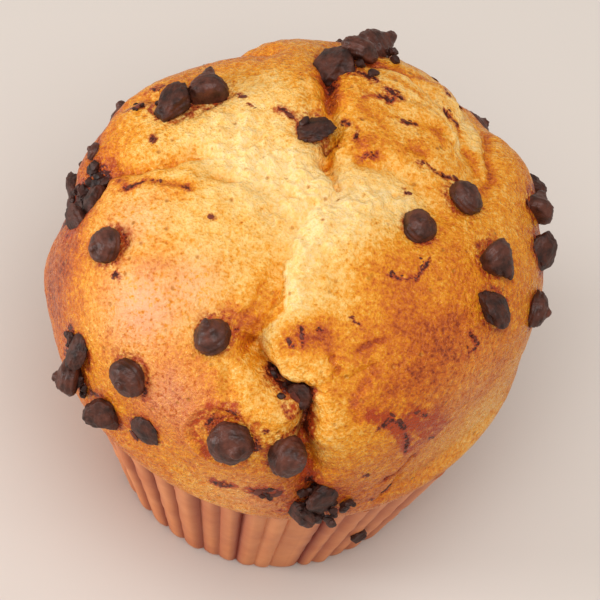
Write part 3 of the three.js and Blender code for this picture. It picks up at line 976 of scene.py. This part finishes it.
chip = {
    "sides": 14,
    "dome": [
        (2.4, -1.5), (3, -1), (3.25, 0), (3.05, 1),
        (2.4, 1.9), (1.3, 2.3), (0.8, 2.6), (0.65, 3.3),
    ],
    "cone": [
        (2.4, -1.5), (3, -1), (3.2, 0), (2.9, 0.8),
        (2.3, 1.6), (1.5, 2.4), (0.95, 3.1), (0.6, 4),
    ],
    "smoothing": 2,
    "coneLean": 40,
    "tipSwing": 0.6,
    "wobble": 0.1,
    "piping": 0.03,
    "pipingPitch": 0.95,
    "growth": 1.06,
    "facets": 7,
    "facetPlaces": (2.5, 3.1),
    "grain": 0.06,
    "lumpRadius": 3.3,
    "lumpUneven": 0.28,
    "lumpFacetPlaces": (2.3, 3.1),
    "specular": 0.35,
    "texture": {
        "Mottle Scale": 500, "Mottle Detail": 4, "Grain Scale": 1300, "Grain Detail": 3,
    },
}

# The darkest and lightest colour with their places on the mottle, the roughness and the grain.
chocolates = {
    "satinChocolate": (0.32, srgb(48, 23, 16), 0.68, srgb(98, 52, 39), 0.44, 0.7),
    "brokenChocolate": (0.35, srgb(36, 16, 11), 0.72, srgb(88, 43, 29), 0.56, 0.7),
    "crumbledChocolate": (0.35, srgb(34, 15, 11), 0.7, srgb(76, 37, 27), 0.55, 0.5),
    "smearedChocolate": (0.35, srgb(72, 27, 17), 0.7, srgb(126, 54, 34), 0.5, 0.5),
}


def addChipForm(rings):
    # a flat disc pushed up ring by ring into a drop
    deselectAll()
    foot, low = rings[0]
    bpy.ops.mesh.primitive_circle_add(
        vertices=chip["sides"], radius=foot, fill_type="NGON", location=(0, 0, low))
    piece = bpy.context.object
    bpy.ops.object.transform_apply(location=True, rotation=False, scale=False)
    editAll()
    for (radius, z), (wider, higher) in zip(rings, rings[1:]):
        bpy.ops.mesh.extrude_region_move(TRANSFORM_OT_translate={"value": (0, 0, higher - z)})
        bpy.ops.transform.resize(value=(wider / radius, wider / radius, 1))
    turnOutward()
    rounding = piece.modifiers.new("rounding", "SUBSURF")
    rounding.levels = rounding.render_levels = chip["smoothing"]
    bpy.ops.object.modifier_apply(modifier="rounding")
    return piece


def addLumpForm(subdivisions):
    deselectAll()
    bpy.ops.mesh.primitive_ico_sphere_add(subdivisions=subdivisions, radius=1)
    return bpy.context.object


def chopped(points, count, nearest, farthest, upward=1):
    # flat faces, as chocolate breaks: what stands past a plane is pressed back towards it
    for k in range(count):
        way = luck.normal(size=3) * np.array([1, 1, upward])
        way /= np.linalg.norm(way)
        past = (points @ way - luck.uniform(nearest, farthest)).clip(0)
        points = points - 0.8 * past[:, None] * way
    return points


def turnedTo(tip):
    return np.array(Vector((0, 0, 1)).rotation_difference(Vector(tip)).to_matrix())


def chipFrame(turn, rise, proud, lean, leanTurn):
    outward = direction(turn, rise)
    sideways = direction(leanTurn, 0)
    sideways = sideways - outward * (sideways @ outward)
    sideways /= np.linalg.norm(sideways)
    lean = math.radians(lean)
    tip = outward * math.cos(lean) + sideways * math.sin(lean)
    return surfaceOver(turn, rise) + outward * proud, turnedTo(tip)


def copyOf(form, name, points, material):
    piece = form.copy()
    piece.data = form.data.copy()
    piece.name = name
    bpy.context.scene.collection.objects.link(piece)
    movePoints(piece, points * mm)
    piece.data.materials.append(material)
    return piece


def chocolateMaterial(name):
    material, tree, finish, places = newMaterial(name)
    low, darkest, high, lightest, roughness, grainStrength = chocolates[name]
    mottle, grain = addGrain(tree, places, chip["texture"])
    link(tree, addRamp(tree, mottle, [(low, darkest), (high, lightest)]), finish, "Base Color")
    addBump(tree, finish, grain, grainStrength, 0.3)
    setInputs(finish, {"Roughness": roughness, "Specular IOR Level": chip["specular"]})
    return material


def joined(pieces, name):
    deselectAll()
    for piece in pieces:
        piece.select_set(True)
    bpy.context.view_layer.objects.active = pieces[0]
    bpy.ops.object.join()
    pieces[0].name = name
    bpy.ops.object.shade_smooth()
    return pieces[0]


def addWholeChips():
    forms = {name: addChipForm(chip[name]) for name in ("dome", "cone")}
    satin = chocolateMaterial("satinChocolate")
    pieces = []
    for k, (turn, rise, size, proud, lean, leanTurn, height) in enumerate(wholeChips):
        form = forms["cone" if lean > chip["coneLean"] else "dome"]
        points = pointsOf(form)
        above = points[:, 2].clip(0) / 3.4
        swing = luck.uniform(0, 2 * math.pi)
        points[:, 0] += chip["tipSwing"] * math.cos(swing) * above**2
        points[:, 1] += chip["tipSwing"] * math.sin(swing) * above**2
        points *= 1 + chip["wobble"] * noiseAt(points, 0.45, 30 + k)[:, None]
        piped = np.sin(points[:, 2:] * 2 * math.pi / chip["pipingPitch"] + k)
        points[:, :2] *= 1 + chip["piping"] * piped
        points = chopped(points, chip["facets"], *chip["facetPlaces"], 0.35)
        grain = noiseAt(points * np.array([1, 1, 2.2]), 1.5, 60 + k)
        points *= 1 + chip["grain"] * grain[:, None]
        points *= chip["growth"] * np.array([size, size, size * height])
        place, turned = chipFrame(turn, rise, proud, lean, leanTurn)
        pieces.append(copyOf(form, "chip", points @ turned.T + place, satin))
    for form in forms.values():
        bpy.data.objects.remove(form)
    return joined(pieces, "wholeChips")


def addMeltedChips():
    form = addLumpForm(5)
    ball = pointsOf(form)
    dull = chocolateMaterial("brokenChocolate")
    pieces = []
    for k, (turn, rise, size, proud, lean, leanTurn, height) in enumerate(meltedChips):
        rough = noiseAt(ball, 1.2, 50 + k) + 0.3 * noiseAt(ball, 3.4, 70 + k)
        points = ball * (chip["lumpRadius"] * (1 + chip["lumpUneven"] * rough))[:, None]
        points = chopped(points, chip["facets"], *chip["lumpFacetPlaces"])
        points *= (1 + chip["grain"] * noiseAt(points, 1.6, 90 + k))[:, None]
        points *= chip["growth"] * np.array([size, size, size * height * 0.85])
        place, turned = chipFrame(turn, rise, proud, lean, leanTurn)
        pieces.append(copyOf(form, "lump", points @ turned.T + place, dull))
    bpy.data.objects.remove(form)
    return joined(pieces, "meltedChips")


# Crumbled chocolate: turn, rise, spread in mm, pieces, largest size, proud.
crumbled = [
    [284, 2, 2, 10, 1.1, 1.2], [285, -2, 2.6, 14, 1.2, 2], [291, -2, 2, 9, 1, 1],
    [174, 27, 2, 16, 1.15, 0.1], [176, 20, 2.4, 18, 1.3, 0.1], [176, 10, 2.6, 14, 1.3, 0.2],
    [90, 36, 2, 9, 1.2, 1.8], [78, 33, 1.8, 6, 1, 1.2], [82, 45, 1.8, 6, 0.9, 0.2],
    [103, 65, 1.8, 7, 0.9, 0.5], [268, 38, 1, 5, 0.8, -0.5], [273, 36, 1, 5, 0.9, -1],
    [278, 34, 1.4, 7, 1.1, -0.8], [13, 20, 2.2, 7, 1.1, 0.5], [346, 34, 2, 6, 0.9, 0.5],
    [212, 10, 2.2, 7, 1, 0.3], [219, 4, 2, 6, 1, 0.5], [272, 4, 1.6, 5, 0.7, 0],
    [153, 33, 1.6, 5, 0.6, 0], [70, 12, 3, 5, 0.8, 0], [120, 4, 3, 5, 0.8, 0],
]


# One crumb is stuck to the paper.
paperCrumb = {"turn": 307.8, "height": 15, "proud": 0.5, "size": (1.6, 1.5, 0.9), "heading": 0.5}

bit = {"facets": 5, "facetPlaces": (0.55, 0.95), "uneven": 0.45, "edgeAngle": 25, "fleckStep": 1.5}


def addBits():
    form = addLumpForm(2)
    ball = pointsOf(form)
    dark, brown = chocolateMaterial("crumbledChocolate"), chocolateMaterial("smearedChocolate")
    onPaper = direction(paperCrumb["turn"], 0)
    away = caseRadius(paperCrumb["height"]) + paperCrumb["proud"]
    point = onPaper * away + np.array([0, 0, paperCrumb["height"]])
    rows = [(point, onPaper, paperCrumb["size"], paperCrumb["heading"], dark)]
    for turn, rise, spread, count, largest, proud in crumbled:
        reach = math.degrees(0.6 * spread / dome["radius"])
        level = math.cos(math.radians(min(rise, 80)))
        for k in range(count):
            place = [turn + luck.normal() * reach / level, rise + luck.normal() * reach]
            outward = direction(*place)
            size = largest * luck.uniform(0.45, 1)
            point = surfaceOver(*place) + outward * proud * luck.uniform(0, 1.2)
            rows.append((point, outward, (size, size, size * 0.8), 0, dark))
    for line, width in flecks:
        for start, end in zip(line, line[1:]):
            level = math.cos(math.radians(start[1]))
            east, north = (end[0] - start[0]) * level, end[1] - start[1]
            length = math.radians(math.hypot(east, north)) * dome["radius"]
            for k in range(max(1, round(length / bit["fleckStep"]))):
                along = luck.uniform(0, 1)
                place = [a + (b - a) * along for a, b in zip(start, end)]
                place[1] += luck.normal() * 0.4
                broad = width * luck.uniform(0.35, 1)
                size = (broad * luck.uniform(1.2, 2.6), broad, 0.2 * broad + 0.06)
                heading = math.atan2(north, east) + luck.normal() * 0.7
                rows.append((surfaceOver(*place), direction(*place), size, heading, brown))
    pieces = []
    for k, (point, outward, size, heading, chocolate) in enumerate(rows):
        points = ball * (1 + bit["uneven"] * noiseAt(ball, 1.5, k))[:, None]
        points = chopped(points, bit["facets"], *bit["facetPlaces"]) * np.array(size)
        east = np.array([-outward[1], outward[0], 0]) / math.hypot(outward[0], outward[1])
        ahead = east * math.cos(heading) + np.cross(outward, east) * math.sin(heading)
        axes = np.array([ahead, np.cross(outward, ahead), outward])
        pieces.append(copyOf(form, "bit", points @ axes + point, chocolate))
    bpy.data.objects.remove(form)
    bits = joined(pieces, "chocolateBits")
    bpy.ops.object.shade_smooth_by_angle(angle=math.radians(bit["edgeAngle"]))
    return bits


for chips in (addWholeChips(), addMeltedChips(), addBits()):
    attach(chips, "root")
    print(chips.name, len(chips.data.polygons), "faces")


# The paper case

paperCase = {
    "pointsPerFlute": 14,
    "rings": 20,
    "thickness": 0.25,
    "buckle": 0.25,
    "buckleScale": 0.12,
    "firstFrontFold": 28,
    "frontFolds": [
        230, 239, 246.5, 254.5, 261, 267.5, 274.5, 280.5, 291, 296.5, 303, 310, 317.5, 327,
    ],
    "slackFolds": (34, 35),
    "slackDepth": 0.2,
    "deepFolds": (33, 36),
    "deepDepth": 1.25,
    "ridgeRoundness": 0.4,
    "foldSpread": 0.6,
    "inset": 0.1,
    "creaseAngle": 50,
    "paperColours": [(0.3, srgb(198, 110, 60)), (0.7, srgb(226, 146, 90))],
    # the painted shade of the folds
    "foldShadeColour": srgb(146, 56, 28),
    "foldShade": 1.1,
    "roughness": 0.6,
    "bump": 0.2,
    "texture": {"Mottle Scale": 90, "Mottle Detail": 5, "Grain Scale": 900, "Grain Detail": 3},
}


def fluteShare(flute):
    # every few flutes one has been pressed nearly flat, as in the solid
    return 0.3 if flute % 7 == 3 else 0.8 + 0.2 * math.sin(1.9 * flute + 0.5)


def flutePlace(around):
    # in flutes round from +X; at the front the folds aren't quite evenly spaced
    pitch = 360 / case["fluteCount"]
    first, turns = paperCase["firstFrontFold"], paperCase["frontFolds"]
    folds = [0, first - 2] + [first + k for k in range(len(turns))] + [case["fluteCount"]]
    edges = [0, (first - 2) * pitch] + turns + [360]
    return np.interp(np.degrees(around), edges, folds)


def foldDepths():
    # how deep the fold at the start of each flute is
    depths = np.array([0.85 + 0.15 * math.sin(2.7 * k) for k in range(case["fluteCount"])])
    depths[list(paperCase["slackFolds"])] = paperCase["slackDepth"]
    depths[list(paperCase["deepFolds"])] = paperCase["deepDepth"]
    return depths


def addPaperCase():
    fluteCount, foot, rings = case["fluteCount"], case["footRound"], paperCase["rings"]
    deselectAll()
    bpy.ops.mesh.primitive_circle_add(
        vertices=fluteCount * paperCase["pointsPerFlute"],
        radius=caseRadius(0) - foot,
        fill_type="TRIFAN",
    )
    piece = bpy.context.object
    piece.name = "bakedPaper"
    editAll()
    bpy.ops.mesh.region_to_loop()
    heights = [foot] + [case["height"] * (k + 1) / rings for k in range(rings)]
    below = 0
    for z in heights:
        bpy.ops.mesh.extrude_edges_move(TRANSFORM_OT_translate={"value": (0, 0, z - below)})
        below = z
    leaveEdit()
    points = pointsOf(piece)
    around = np.arctan2(points[:, 1], points[:, 0]) % (2 * math.pi)
    z = points[:, 2].copy()
    onWall = np.hypot(points[:, 0], points[:, 1]) > 1
    place = flutePlace(around) + 1e-6
    flute = np.floor(place).astype(int)
    across = place - flute
    shares = np.array([fluteShare(k) for k in range(fluteCount)])[flute % fluteCount]
    depths = foldDepths()
    nearFold = depths[(flute + (across >= 0.5)) % fluteCount]
    ridge = np.sin(math.pi * across**1.25).clip(0) ** paperCase["ridgeRoundness"]
    folded = (shares * ridge - nearFold * (1 - ridge)) * fluteDepth(z)
    stretched = np.array([points[:, 0], points[:, 1], z * 2]).T
    swell = paperCase["buckle"] * noiseAt(stretched, paperCase["buckleScale"], 5)
    inner = np.where(z < 0.01, foot, 0)
    radius = caseRadius(z) + folded - inner + swell * smooth(z, 2, 10) - paperCase["inset"]
    wave = case["rimWave"] * np.sin(3 * around) * (z / case["height"])
    moved = np.array([radius * np.cos(around), radius * np.sin(around), z + wave]).T
    points[onWall] = moved[onWall]
    movePoints(piece, points * mm)
    # Painted shade: the fold attribute is strongest in the paper's grooves.
    paintPoints(piece, "fold", nearFold * (1 - ridge).clip(0) ** paperCase["foldSpread"] * onWall)
    turnOutward()
    wall = piece.modifiers.new("wall", "SOLIDIFY")
    wall.thickness = paperCase["thickness"] * mm
    wall.offset = -1
    bpy.ops.object.modifier_apply(modifier="wall")
    bpy.ops.object.shade_smooth_by_angle(angle=math.radians(paperCase["creaseAngle"]))
    return piece


def paperMaterial():
    material, tree, finish, places = newMaterial("bakingPaper")
    mottle, grain = addGrain(tree, places, paperCase["texture"])
    colour = addRamp(tree, mottle, paperCase["paperColours"])
    # Painted shade: the paper is darkened and reddened in its folds.
    shade = addProduct(tree, addAttribute(tree, "fold"), paperCase["foldShade"], clamp=True)
    colour = addMix(tree, shade, colour, paperCase["foldShadeColour"])
    link(tree, colour, finish, "Base Color")
    setInputs(finish, {"Roughness": paperCase["roughness"]})
    addBump(tree, finish, grain, paperCase["bump"], 0.2)
    return material


bakedPaper = addPaperCase()
bakedPaper.data.materials.append(paperMaterial())
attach(bakedPaper, "root")
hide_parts("paper_case")
print("the paper case is folded:", len(bakedPaper.data.polygons), "faces")
